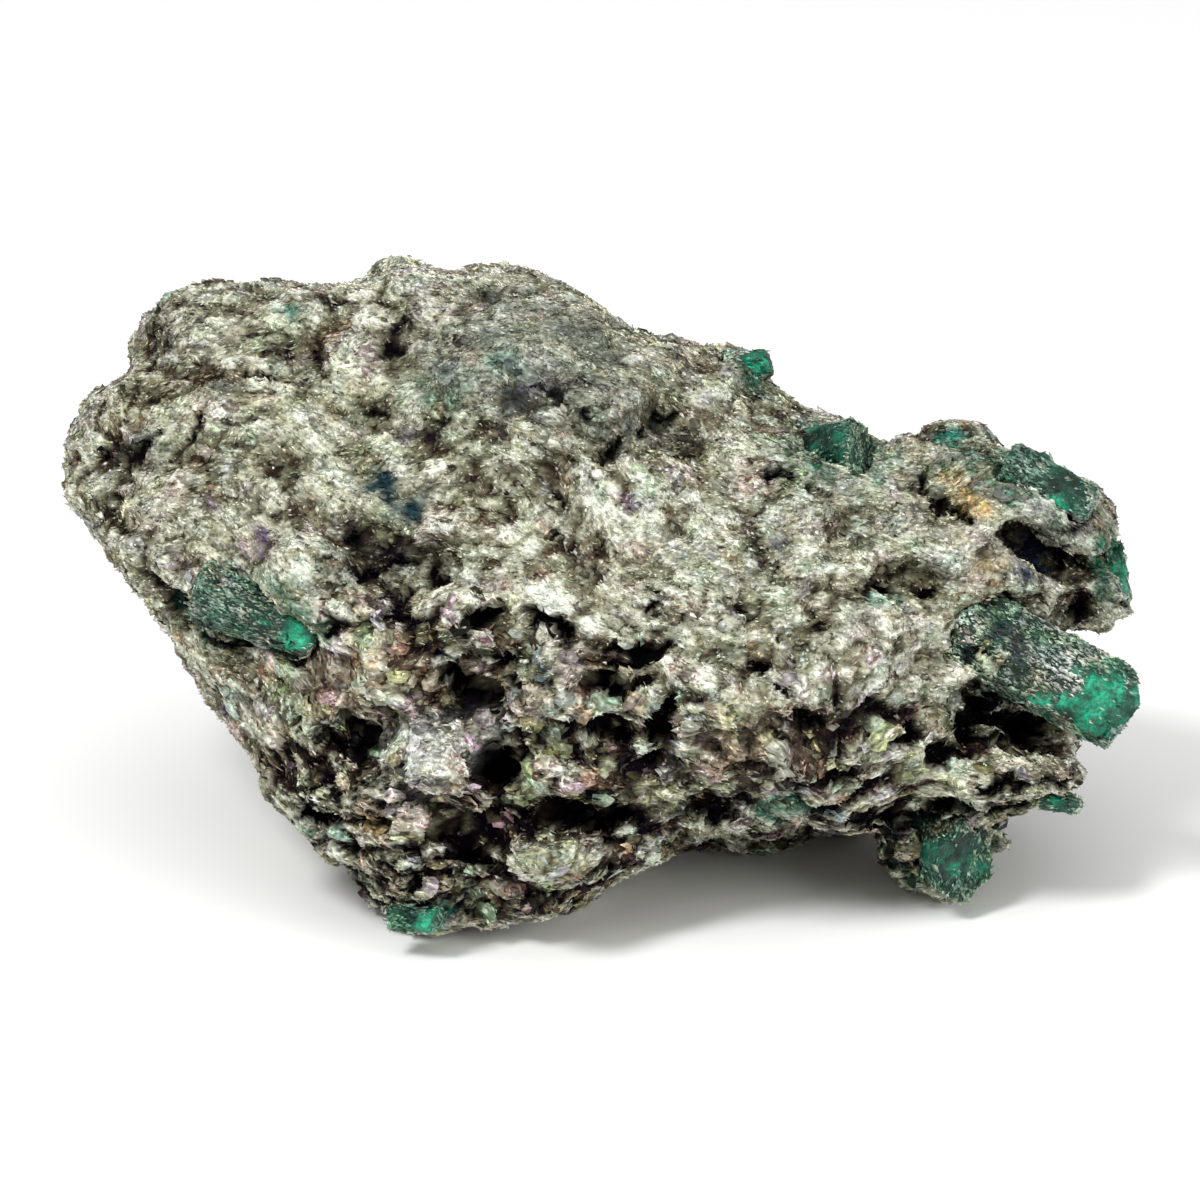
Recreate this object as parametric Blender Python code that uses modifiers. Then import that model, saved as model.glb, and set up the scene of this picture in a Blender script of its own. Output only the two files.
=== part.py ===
"""Emerald in matrix: a hand specimen of mica schist with emerald crystals grown in it.

Run it with blender --background --python part.py, or from Blender's text editor.

The rock is shaped in the frame of its display side, in millimetres: X runs across, Z up and
-Y towards the viewer. One empty then leans that frame back, so that the display side is seen
from above, and lifts it until the rock rests on the ground, the plane Z = 0.
"""

import math

import bmesh
import bpy
import numpy as np
from mathutils import Matrix, Vector, noise
from mathutils.bvhtree import BVHTree

MM = 0.001

# Driving dimensions, in millimetres
VIEW_LEAN = math.radians(20)
CENTRE_ACROSS = 0.47
CENTRE_HEIGHT = 26.9
CENTRE_DEPTH = -1.52
BODY_CENTRE = (-2.0, 0.0)
FRONT_DEPTH = 25.0
BACK_DEPTH = 27.0
LEAN_BACK = 0.25
SQUARENESS = 0.72
BLOCKINESS = 0.85
ROUNDING = 24.0
SOCKET_GAP = 0.3
VIEW_DISTANCE = 200.0
GROUND_BLOCK = 150.0
CUT_BACK = 0.35
EDGE_WEAR = 0.10

# Surface work, in millimetres
BLOCK_VOXEL = 0.8
BEDDING_NORMAL = Vector((0.28, -0.28, 0.92)).normalized()
BEDDING_THICKNESS = 3.4
BEDDING_FOLD = 3.0
FOLD_SIZE = 21.0
CHIP_SIZE = 8.0
CHIP_HEIGHT = 2.0
CHIP_EDGE = 0.22
CHIP_MIX = 3.7
CREASE = 0.45
LUMP_SIZE = 7.0
LUMP_HEIGHT = 1.0
MATRIX_TRIANGLES = 8400

# Outline of the rock's main mass seen from the display side: (across, up)
OUTLINE = (
    (-54.0, 11.5), (-53.8, 14.5), (-52.4, 17.8), (-50.9, 20.2), (-49.2, 20.8), (-49.2, 23.8),
    (-46.8, 26.4), (-45.8, 29.4), (-44.4, 30.6), (-36.0, 31.7), (-30.0, 32.1), (-24.0, 32.7),
    (-20.2, 34.6), (-18.2, 34.0), (-16.5, 33.2), (-11.0, 33.9), (-7.0, 33.2), (-3.6, 31.0),
    (2.0, 27.4), (4.5, 26.2), (14.0, 25.3), (16.0, 24.4), (17.8, 20.8), (21.0, 18.4),
    (26.0, 16.8), (29.0, 15.6), (33.0, 11.0), (37.0, 5.0), (38.5, -2.0), (37.6, -8.0),
    (38.4, -14.0), (38.0, -18.4), (30.0, -20.6), (21.0, -22.8), (11.0, -22.6), (7.1, -24.6),
    (2.5, -27.4), (-2.5, -30.2), (-8.0, -31.2), (-13.5, -30.6), (-17.0, -32.6), (-20.4, -32.3),
    (-22.4, -30.4), (-23.2, -27.0), (-29.2, -22.2), (-32.4, -19.6), (-32.6, -17.0),
    (-37.2, -11.8), (-41.4, -6.6), (-44.4, -0.8), (-47.4, 3.0), (-51.0, 7.2),
)

# Raised and sunk ground on the display side: name, across, up, half width, half height, rise
RELIEF = (
    ("middle ridge", -6.0, -3.0, 38.0, 9.0, 4.0),
    ("upper step", -36.0, 24.0, 13.0, 4.5, -3.0),
    ("left nose", -47.0, 10.0, 7.0, 7.0, 2.6),
    ("left pit", -44.5, 15.2, 3.4, 3.0, -4.5),
    ("grey boss", -5.5, 24.0, 10.5, 8.5, 7.5),
    ("boss hollow", 7.2, 16.6, 5.4, 3.2, -4.2),
    ("crown gully", -20.5, 19.0, 4.6, 4.6, -3.0),
    ("diagonal ridge", 0.5, 11.0, 6.0, 4.4, 2.6),
    ("dark hollow", -21.0, 3.4, 5.8, 4.4, -6.0),
    ("cheek", 12.0, 6.0, 13.0, 6.0, 2.4),
    ("side shelf", -33.0, 2.4, 9.0, 3.6, 2.0),
    ("side ledge", -31.0, -6.2, 8.0, 2.2, -3.6),
    ("upper cave", -12.0, -9.6, 4.2, 3.2, -6.5),
    ("left cave", -21.8, -13.2, 3.6, 3.0, -5.5),
    ("pale block", -16.6, -15.2, 3.8, 3.6, 3.4),
    ("middle cave", -9.0, -15.8, 4.0, 2.8, -5.0),
    ("lower cave", -12.2, -23.0, 5.6, 3.4, -6.0),
    ("front cave", -1.4, -20.6, 5.6, 2.6, -5.0),
    ("front slab", -5.0, -25.8, 5.4, 2.8, 3.2),
    ("right bench", 17.0, -12.0, 9.0, 5.0, 3.2),
    ("right undercut", 14.0, -20.6, 10.0, 2.8, -5.0),
    ("crease", 29.0, 1.2, 4.0, 2.0, -3.0),
    ("end hollow", 38.0, -11.2, 4.6, 5.4, -9.0),
)

# The same for the back
BACK_RELIEF = (
    ("back shoulder", 14.0, 12.0, 15.0, 9.0, 4.0),
    ("back shelf", -8.0, 2.0, 24.0, 5.0, 4.5),
    ("back step", -10.0, 13.0, 22.0, 5.0, -4.0),
    ("back hollow", -30.0, 9.0, 8.0, 8.0, -5.0),
    ("back break", 18.0, -8.0, 12.0, 7.0, -5.0),
    ("back knee", -20.0, -14.0, 12.0, 7.0, 4.0),
    ("back pit", 2.0, -13.0, 6.0, 4.0, -4.0),
    ("back crown", -24.0, 26.0, 12.0, 5.0, 4.0),
)

# Lumps grown onto the main mass: name, (across, away, up), half sizes, turn about the view axis
LUMPS = (
    ("lobe arch", (39.8, -2.5, 8.2), (12.2, 15.0, 7.0), -22.0),
    ("lobe heel", (45.2, -1.0, 0.6), (7.2, 9.5, 4.0), -8.0),
    ("lobe back", (35.0, 9.0, 3.0), (10.5, 14.0, 9.0), -12.0),
    ("lobe root", (31.0, -4.0, 4.0), (10.0, 14.0, 10.0), 0.0),
    ("crystal sheath", (40.6, -6.0, -5.8), (8.8, 9.0, 4.6), -33.0),
    ("end wall", (42.2, 3.0, -12.0), (6.4, 9.0, 6.4), 0.0),
    ("lower ledge", (39.0, -6.5, -18.0), (10.2, 11.0, 3.3), 2.0),
    ("ledge root", (33.0, -2.0, -14.0), (9.0, 12.0, 8.0), 0.0),
    ("knob", (33.4, -3.4, -24.4), (6.6, 7.2, 5.0), 18.0),
    ("knob stem", (37.0, 2.0, -22.0), (4.2, 6.0, 4.6), 0.0),
    ("hidden heel", (9.0, 10.0, -16.4), (24.0, 14.0, 9.2), 0.0),
    ("left toe", (-19.0, -8.0, -29.0), (4.4, 6.0, 3.2), 0.0),
)

# Hollows bored into the lumps: name, (across, away, up), half sizes, turn about the view axis
BORES = (
    ("arch slot", (45.0, -15.0, 4.6), (5.2, 8.0, 2.0), -28.0),
    ("shell groove", (33.8, -18.5, 9.2), (3.4, 4.4, 1.8), -30.0),
    ("heel pocket", (47.4, -9.5, -1.6), (3.6, 5.0, 1.5), -10.0),
)


class Crystal:
    """One emerald: a six-sided prism that stands partly out of the rock.

    It is placed as it is seen, across and up. Its centre is sunk that far behind the surface
    there, or lies at a stated depth where the line of sight only grazes the rock.
    """

    def __init__(self, name, across, up, axis, radius, length, flatness=0.9, taper=0.9, roll=0.0,
                 cut=None, sunk=0.0, away=None):
        self.name = name
        self.across = across
        self.up = up
        self.axis = Vector(axis).normalized()
        self.radius = radius
        self.length = length
        self.flatness = flatness
        self.taper = taper
        self.roll = roll
        self.cut = cut
        self.sunk = sunk
        self.away = away


CRYSTALS = (
    Crystal("end_emerald", 44.5, -7.2, (0.87, -0.08, -0.46), 4.9, 20.2, flatness=0.94, taper=0.98,
            roll=12.0, cut=(0.86, 0.30, -0.30), sunk=1.2),
    Crystal("foot_emerald", 35.0, -24.8, (0.30, -0.74, -0.60), 4.3, 8.6, flatness=0.95, taper=0.84,
            cut=(0.5, -0.8, -0.2), sunk=1.8),
    Crystal("shoulder_emerald", 23.4, 14.0, (0.74, -0.55, 0.30), 4.6, 9.4, taper=0.84, roll=20.0,
            cut=(0.9, -0.4, 0.1), sunk=2.4),
    Crystal("crest_emerald", 14.8, 23.4, (0.75, -0.30, 0.10), 1.9, 4.2, taper=0.85, roll=10.0,
            sunk=1.4),
    Crystal("lobe_emerald", 44.2, 11.5, (0.88, -0.10, -0.46), 2.9, 9.4, flatness=0.8, roll=15.0,
            sunk=1.8),
    Crystal("edge_emerald", 51.0, 2.8, (0.16, -0.10, -1.0), 1.8, 5.8, away=-5.0),
    Crystal("side_emerald", -33.4, -1.4, (0.93, -0.06, -0.34), 3.7, 12.6, flatness=0.85, taper=0.86,
            roll=8.0, sunk=2.2),
    Crystal("ledge_emerald", 45.2, -20.0, (0.97, -0.20, -0.10), 1.3, 4.4, away=-12.0),
    Crystal("toe_emerald", -18.0, -31.0, (0.95, -0.25, 0.05), 1.6, 5.4, taper=0.85, away=-19.8),
)


def clear_scene():
    for obj in list(bpy.data.objects):
        bpy.data.objects.remove(obj)


def new_collection(name):
    collection = bpy.data.collections.new(name)
    bpy.context.scene.collection.children.link(collection)
    return collection


def principled(name, colour, roughness):
    """A plain material with the mean colour of the surface in the photo."""
    material = bpy.data.materials.new(name)
    material.use_nodes = True
    shader = material.node_tree.nodes["Principled BSDF"]
    shader.inputs["Base Color"].default_value = (*colour, 1.0)
    shader.inputs["Roughness"].default_value = roughness
    shader.inputs["Metallic"].default_value = 0.0
    return material


def leaning_frame():
    """The empty that everything hangs from: it leans the display side back and lifts the rock."""
    frame = bpy.data.objects.new("display_lean", None)
    bpy.context.scene.collection.objects.link(frame)
    frame.location = Vector((CENTRE_ACROSS, CENTRE_DEPTH, CENTRE_HEIGHT)) * MM
    frame.rotation_euler.x = -VIEW_LEAN
    return frame


def object_from(name, bm, collection, parent):
    mesh = bpy.data.meshes.new(name)
    bm.to_mesh(mesh)
    bm.free()
    obj = bpy.data.objects.new(name, mesh)
    collection.objects.link(obj)
    obj.parent = parent
    return obj


def apply_modifiers(obj):
    """Replaces the object's mesh with the one that its modifiers make."""
    bpy.context.view_layer.update()
    graph = bpy.context.evaluated_depsgraph_get()
    mesh = bpy.data.meshes.new_from_object(obj.evaluated_get(graph))
    obj.modifiers.clear()
    obj.data = mesh


def outline_reach(angles):
    """Distances from the body's centre to the outline, in the directions of the angles."""
    corners = np.array(OUTLINE) - BODY_CENTRE
    corner_angles = np.arctan2(corners[:, 1], corners[:, 0])
    reaches = np.hypot(corners[:, 0], corners[:, 1])
    order = np.argsort(corner_angles)
    return np.interp(angles, corner_angles[order], reaches[order], period=2 * math.pi)


def rounded_reach(angles):
    """The same distances with the outline's small corners rounded off."""
    turns = np.radians(np.linspace(-ROUNDING, ROUNDING, 9))
    return np.mean([outline_reach(angles + turn) for turn in turns], axis=0)


def relief(across, up, features):
    """How far one side of the rock stands out or is sunk at a place, in millimetres."""
    rise = 0.0
    for _, centre_across, centre_up, half_width, half_height, height in features:
        spread = math.hypot((across - centre_across) / half_width, (up - centre_up) / half_height)
        rise += height * math.exp(-(spread ** 3))
    return rise


def add_main_mass(bm):
    """A ball pulled out to the outline, boxy in depth, with the relief of its front and back.

    The outline's corners show at the rim alone, and fade out towards the front and the back.
    """
    ball = bmesh.ops.create_icosphere(bm, subdivisions=6, radius=1.0)
    spots = np.array([vertex.co for vertex in ball["verts"]])
    angles = np.arctan2(spots[:, 2], spots[:, 0])
    facing = np.abs(spots[:, 1])
    reaches = outline_reach(angles) * (1 - facing) + rounded_reach(angles) * facing
    reaches *= np.hypot(spots[:, 0], spots[:, 2]) ** SQUARENESS
    bulges = facing ** SQUARENESS
    for vertex, angle, reach, bulge in zip(ball["verts"], angles, reaches, bulges):
        across = BODY_CENTRE[0] + reach * math.cos(angle)
        up = BODY_CENTRE[1] + reach * math.sin(angle)
        if vertex.co.y < 0:
            away = -bulge * (FRONT_DEPTH + relief(across, up, RELIEF))
        else:
            away = bulge * (BACK_DEPTH + relief(across, up, BACK_RELIEF))
        vertex.co = Vector((across, away + LEAN_BACK * up, up)) * MM


def add_rounded_block(bm, place, half_sizes, turn, subdivisions=4):
    """A block with well rounded corners, turned about the line of sight."""
    ball = bmesh.ops.create_icosphere(bm, subdivisions=subdivisions, radius=1.0)
    for vertex in ball["verts"]:
        vertex.co = Vector([math.copysign(abs(part) ** BLOCKINESS, part) for part in vertex.co])
    shape = (
        Matrix.Translation(Vector(place) * MM)
        @ Matrix.Rotation(-math.radians(turn), 4, "Y")
        @ Matrix.Diagonal((*(Vector(half_sizes) * MM), 1.0))
    )
    bmesh.ops.transform(bm, matrix=shape, verts=ball["verts"])


def layer_place(place):
    """A place measured along and across the mica layers, with chips of rock one unit in size."""
    across_layers = place.dot(BEDDING_NORMAL) + BEDDING_FOLD * noise.noise(place / FOLD_SIZE)
    along_layers = (place - place.dot(BEDDING_NORMAL) * BEDDING_NORMAL) / CHIP_SIZE
    return along_layers + BEDDING_NORMAL * (across_layers / BEDDING_THICKNESS)


def chip_offset(place):
    """How far the chip of rock at a place stands out, from -1 to 1, less the crease at its edge."""
    distances, centres = noise.voronoi(layer_place(place))
    steps = [noise.noise(centre * CHIP_MIX) * 2.2 for centre in centres[:2]]
    inside = min(1.0, (distances[1] - distances[0]) / CHIP_EDGE)
    step = steps[0] * (0.5 + 0.5 * inside) + steps[1] * (0.5 - 0.5 * inside)
    return step - CREASE * (1.0 - inside)


def work_surface(mesh):
    """Moves each point along its normal: chips of the layers stand in and out, over low lumps."""
    normals = [vertex.normal.copy() for vertex in mesh.vertices]
    for vertex, normal in zip(mesh.vertices, normals):
        place = vertex.co / MM
        broken_across = 1.0 - 0.6 * abs(normal.dot(BEDDING_NORMAL))
        chip = CHIP_HEIGHT * broken_across * chip_offset(place)
        lump = LUMP_HEIGHT * noise.noise(place / LUMP_SIZE)
        vertex.co += normal * (chip + lump) * MM


def drop_loose_bits(mesh):
    """Keeps the largest body of a mesh, so that no chip cut free of the rock is left."""
    bm = bmesh.new()
    bm.from_mesh(mesh)
    waiting = set(bm.verts)
    bodies = []
    while waiting:
        edge_of_body = [waiting.pop()]
        body = []
        while edge_of_body:
            vertex = edge_of_body.pop()
            body.append(vertex)
            near = {edge.other_vert(vertex) for edge in vertex.link_edges} & waiting
            waiting -= near
            edge_of_body.extend(near)
        bodies.append(body)
    bodies.sort(key=len)
    bmesh.ops.delete(bm, geom=[vertex for body in bodies[:-1] for vertex in body], context="VERTS")
    bm.to_mesh(mesh)
    bm.free()


def add_modifier(obj, name, kind, **values):
    modifier = obj.modifiers.new(name, kind)
    for key, value in values.items():
        setattr(modifier, key, value)


def as_cutter(obj):
    obj.hide_render = True
    obj.display_type = "WIRE"
    return obj


def ground_cutter(cutters):
    """A block whose top is the ground plane. Its cut is the flat break that the rock rests on."""
    bm = bmesh.new()
    bmesh.ops.create_cube(
        bm, size=GROUND_BLOCK * MM,
        matrix=Matrix.Translation((0, 0, -0.5 * GROUND_BLOCK * MM)),
    )
    return as_cutter(object_from("ground", bm, cutters, None))


def bores_cutter(cutters, frame):
    """The slots and pockets of the right end."""
    bm = bmesh.new()
    for _, place, half_sizes, turn in BORES:
        add_rounded_block(bm, place, half_sizes, turn, subdivisions=3)
    return as_cutter(object_from("bores", bm, cutters, frame))


def fuse(obj):
    """Makes one clean skin around all that the object's mesh holds."""
    add_modifier(obj, "Fuse", "REMESH", mode="VOXEL", voxel_size=BLOCK_VOXEL * MM)
    apply_modifiers(obj)


def make_matrix(parts, cutters, frame, material):
    bm = bmesh.new()
    add_main_mass(bm)
    for _, place, half_sizes, turn in LUMPS:
        add_rounded_block(bm, place, half_sizes, turn)
    rock = object_from("matrix", bm, parts, frame)
    fuse(rock)
    add_modifier(rock, "Blend", "SMOOTH", factor=0.5, iterations=3)
    add_modifier(rock, "Bores", "BOOLEAN", operation="DIFFERENCE",
                 object=bores_cutter(cutters, frame))
    fuse(rock)
    work_surface(rock.data)
    fuse(rock)
    drop_loose_bits(rock.data)
    triangles = sum(len(face.vertices) - 2 for face in rock.data.polygons)
    add_modifier(rock, "Facets", "DECIMATE", ratio=MATRIX_TRIANGLES / triangles)
    add_modifier(rock, "Flat break", "BOOLEAN", operation="DIFFERENCE",
                 object=ground_cutter(cutters))
    apply_modifiers(rock)
    rock.data.materials.clear()
    rock.data.materials.append(material)
    return rock


def crystal_centre(crystal, tree):
    """Behind the point where a line of sight from the display side meets the rock."""
    if crystal.away is not None:
        return Vector((crystal.across, crystal.away, crystal.up)) * MM
    start = Vector((crystal.across, -VIEW_DISTANCE, crystal.up)) * MM
    place, _, _, _ = tree.ray_cast(start, Vector((0, 1, 0)))
    return place + Vector((0, crystal.sunk * MM, 0))


def crystal_shape(crystal, place, grow):
    """A six-sided prism with worn edges; grow makes the larger copy that cuts its socket."""
    radius = crystal.radius + grow / math.cos(math.pi / 6)
    bm = bmesh.new()
    bmesh.ops.create_cone(
        bm, cap_ends=True, segments=6,
        radius1=radius, radius2=radius * crystal.taper, depth=crystal.length + 2 * grow,
    )
    turn = crystal.axis.to_track_quat("Z", "Y")
    if crystal.cut:
        facing = turn.inverted() @ Vector(crystal.cut).normalized()
        end = Vector((0, 0, 0.5 * crystal.length - CUT_BACK * crystal.radius))
        trimmed = bmesh.ops.bisect_plane(
            bm, geom=bm.verts[:] + bm.edges[:] + bm.faces[:],
            plane_co=end + facing * grow, plane_no=facing, clear_outer=True,
        )
        rim = [edge for edge in trimmed["geom_cut"] if isinstance(edge, bmesh.types.BMEdge)]
        bmesh.ops.edgeloop_fill(bm, edges=rim)
    bmesh.ops.bevel(
        bm, geom=bm.edges[:], offset=EDGE_WEAR * crystal.radius, segments=1, affect="EDGES",
        profile=0.5, material=-1, clamp_overlap=True,
    )
    bmesh.ops.transform(
        bm, verts=bm.verts,
        matrix=Matrix.Translation(place)
        @ Matrix.Scale(MM, 4)
        @ turn.to_matrix().to_4x4()
        @ Matrix.Rotation(math.radians(crystal.roll), 4, "Z")
        @ Matrix.Diagonal((1.0, crystal.flatness, 1.0, 1.0)),
    )
    bmesh.ops.recalc_face_normals(bm, faces=bm.faces)
    return bm


def make_crystals(rock, parts, sockets, frame, material):
    """Sets each emerald where its line of sight meets the rock, and cuts its socket."""
    tree = BVHTree.FromPolygons(
        [vertex.co for vertex in rock.data.vertices],
        [face.vertices for face in rock.data.polygons],
    )
    for crystal in CRYSTALS:
        place = crystal_centre(crystal, tree)
        bm = crystal_shape(crystal, place, 0.0)
        emerald = object_from(crystal.name, bm, parts, frame)
        emerald.data.materials.append(material)
        bm = crystal_shape(crystal, place, SOCKET_GAP)
        as_cutter(object_from(crystal.name + "_socket", bm, sockets, frame))
    add_modifier(rock, "Sockets", "BOOLEAN", operation="DIFFERENCE", operand_type="COLLECTION",
                 collection=sockets)
    apply_modifiers(rock)
    drop_loose_bits(rock.data)


def main():
    clear_scene()
    parts = new_collection("Emerald in matrix")
    cutters = new_collection("Cutters")
    sockets = new_collection("Sockets")
    schist = principled("mica_schist", (0.40, 0.40, 0.33), 0.55)
    green = principled("emerald", (0.02, 0.30, 0.17), 0.25)
    frame = leaning_frame()
    rock = make_matrix(parts, cutters, frame, schist)
    make_crystals(rock, parts, sockets, frame, green)


main()
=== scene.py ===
"""Looks of a hand specimen of mica schist with emeralds grown in it.

The rock's fine ground, its mica flakes and the broken faces of its emeralds are made here around
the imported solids. Shapes are worked out in the frame of the display side, in millimetres: X runs
across, Z up and -Y towards the viewer.
"""

import itertools
import math

import bmesh
import bpy
import numpy as np
from mathutils import Matrix, Vector
from mathutils.bvhtree import BVHTree


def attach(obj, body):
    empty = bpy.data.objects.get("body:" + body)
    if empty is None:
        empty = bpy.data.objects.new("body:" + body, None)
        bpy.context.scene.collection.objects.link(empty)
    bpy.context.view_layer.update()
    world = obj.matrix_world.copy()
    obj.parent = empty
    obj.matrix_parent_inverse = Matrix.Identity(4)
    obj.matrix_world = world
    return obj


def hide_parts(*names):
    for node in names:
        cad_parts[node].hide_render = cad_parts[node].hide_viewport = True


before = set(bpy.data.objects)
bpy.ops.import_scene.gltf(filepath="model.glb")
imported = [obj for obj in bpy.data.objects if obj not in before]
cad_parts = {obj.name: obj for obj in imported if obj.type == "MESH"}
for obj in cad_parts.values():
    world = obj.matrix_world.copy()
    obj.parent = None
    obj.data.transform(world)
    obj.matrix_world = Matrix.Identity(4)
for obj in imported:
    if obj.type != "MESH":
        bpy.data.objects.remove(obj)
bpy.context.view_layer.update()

MM = 0.001
SEED = 4
EMERALDS = sorted(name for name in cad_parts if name.endswith("_emerald"))

# The display side leans back, and the middle of the photograph lies here on the specimen
VIEW_LEAN = math.radians(20)
CENTRE = Vector((0.47, -1.52, 26.9)) * MM
DISPLAY = Matrix.Translation(CENTRE) @ Matrix.Rotation(-VIEW_LEAN, 4, "X")
DISPLAY_TURN = np.array(DISPLAY.to_3x3())

# The camera sees 120 mm across at the specimen
FRAME_WIDTH = 120.0
LENS = 240.0
SENSOR = 36.0

# Mica layers: the way they face, the size and height of their folds and the finest layer's thickness
LAYER_NORMAL = np.array((0.28, -0.28, 0.92)) / np.linalg.norm((0.28, -0.28, 0.92))
LAYER_FOLDS = ((21.0, 3.0), (8.0, 1.1), (3.2, 0.35))
FINE_LAYER = 1.15

# Where the layers turn on the display side: across, up, reach and how much steeper they fall
LAYER_TURNS = (
    (-38.0, 22.0, 13.0, -0.28),
    (-46.0, 6.0, 8.0, -0.10),
    (-32.0, -17.0, 12.0, 0.60),
    (0.0, 10.0, 15.0, 0.42),
    (-9.0, 20.0, 7.0, 0.45),
    (1.0, -27.0, 9.0, -0.70),
    (29.0, -18.0, 9.0, -0.50),
    (35.0, 15.0, 6.0, -0.60),
    (50.0, 9.0, 8.0, 0.45),
)

# Fine ground of the rock: how fine its skin is and how high its forms stand, in millimetres
GROUND_VOXEL = 0.58
LUMP_SIZE = 4.2
LUMP_HEIGHT = 0.36
LEDGE_HEIGHT = 0.45
BOOK_LENGTH = 2.3
BOOK_THICKNESS = 1.4
BOOK_HEIGHT = 0.28
GRAIN_SIZE = 1.1
GRAIN_HEIGHT = 0.14
BLOCK_LENGTH = 6.5
BLOCK_THICKNESS = 4.0
GAP_DEPTH = 1.5

# Rounds of smoothing that give the even ground from which hollows are measured
SMOOTHING_ROUNDS = 32

# The line on the display side under which its blocks stand apart
LOW_ACROSS = (-44, -16, 0, 12, 36)
LOW_UP = (-1, 0.5, -3.5, -8, -9)

# The pale block whose grains lie all ways: across, up, half width and half height
GRAINY_SPOT = (-16.3, -14.8, 3.6, 3.2)

# Mica flakes: their corners and how many there are
SLIVER_CORNERS = 4
COIN_CORNERS = 7
SLIVERS_A_PIECE = 28000
COINS = 2600
PLATES_A_BOOK = 5
# Share of flakes painted bright as glints
PAINTED_GLINT_SHARE = 0.07

# Their half lengths, the depth of their roots and how far they keep from the emeralds, in millimetres
SLIVER_LENGTH = 0.38
SLIVER_LIMITS = (0.16, 0.9)
COAT_LIMITS = (0.16, 0.65)
COIN_LENGTH = 0.80
COIN_LIMITS = (0.4, 1.2)
ROOT_DEPTH = (0.12, 0.30)
LARGE_ROOT = 0.35
CRYSTAL_CLEARANCE = 0.25

# Emeralds: how fine their skin is and the forms of their broken faces, in millimetres
CRYSTAL_VOXEL = 0.28
STEP_SIZE = 2.3
STEP_HEIGHT = 0.34
SPLINTER_SIZE = 0.9
SPLINTER_HEIGHT = 0.12
CRYSTAL_SWELL = 0.16

# How much of what stands past a flat break is taken off
BREAK_SHARE = 0.96

# Flakes that coat the emeralds, a square millimetre
COAT_FLAKES = 12.0

# Colours from dark to pale, as the flakes run from the painted shade of the hollows to the painted light of
# the lit ridges
DEEP = (0.003, 0.001, 0.004)
SHADE = (0.040, 0.027, 0.017)
OLIVE = (0.202, 0.197, 0.125)
SILVER = (0.53, 0.535, 0.41)
PEARL = (0.79, 0.81, 0.705)
RAMP_STOPS = (0.0, 0.25, 0.5, 0.75, 1.0)
RAMP = np.array((DEEP, SHADE, OLIVE, SILVER, PEARL))
BRONZE = np.array((0.38, 0.23, 0.12))
LILAC = np.array((0.25, 0.18, 0.25))
VIOLET = np.array((0.045, 0.025, 0.075))
DEEP_GREEN = np.array((0.001, 0.105, 0.060))
BRIGHT_GREEN = np.array((0.004, 0.37, 0.20))
TEAL = np.array((0.03, 0.22, 0.16))
BLUE_GREEN = np.array((0.010, 0.034, 0.042))
GREY_GREEN = np.array((0.17, 0.195, 0.165))
TAN = np.array((0.62, 0.44, 0.20))
ROSE = np.array((0.40, 0.35, 0.31))
LEMON = np.array((0.58, 0.57, 0.33))
PEACH = np.array((0.60, 0.44, 0.31))
INK = np.array((0.006, 0.018, 0.045))
RUST = np.array((0.22, 0.05, 0.03))
# Black for painted shade in hollows and slots
PAINTED_SHADE_BLACK = np.array((0.003, 0.0015, 0.004))
WHITE_MICA = np.array((0.72, 0.74, 0.66))
COAT_GREEN = np.array((0.24, 0.46, 0.33))
MINT = np.array((0.09, 0.52, 0.33))
GREEN_STOPS = (0.0, 0.35, 0.75, 1.1)
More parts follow.
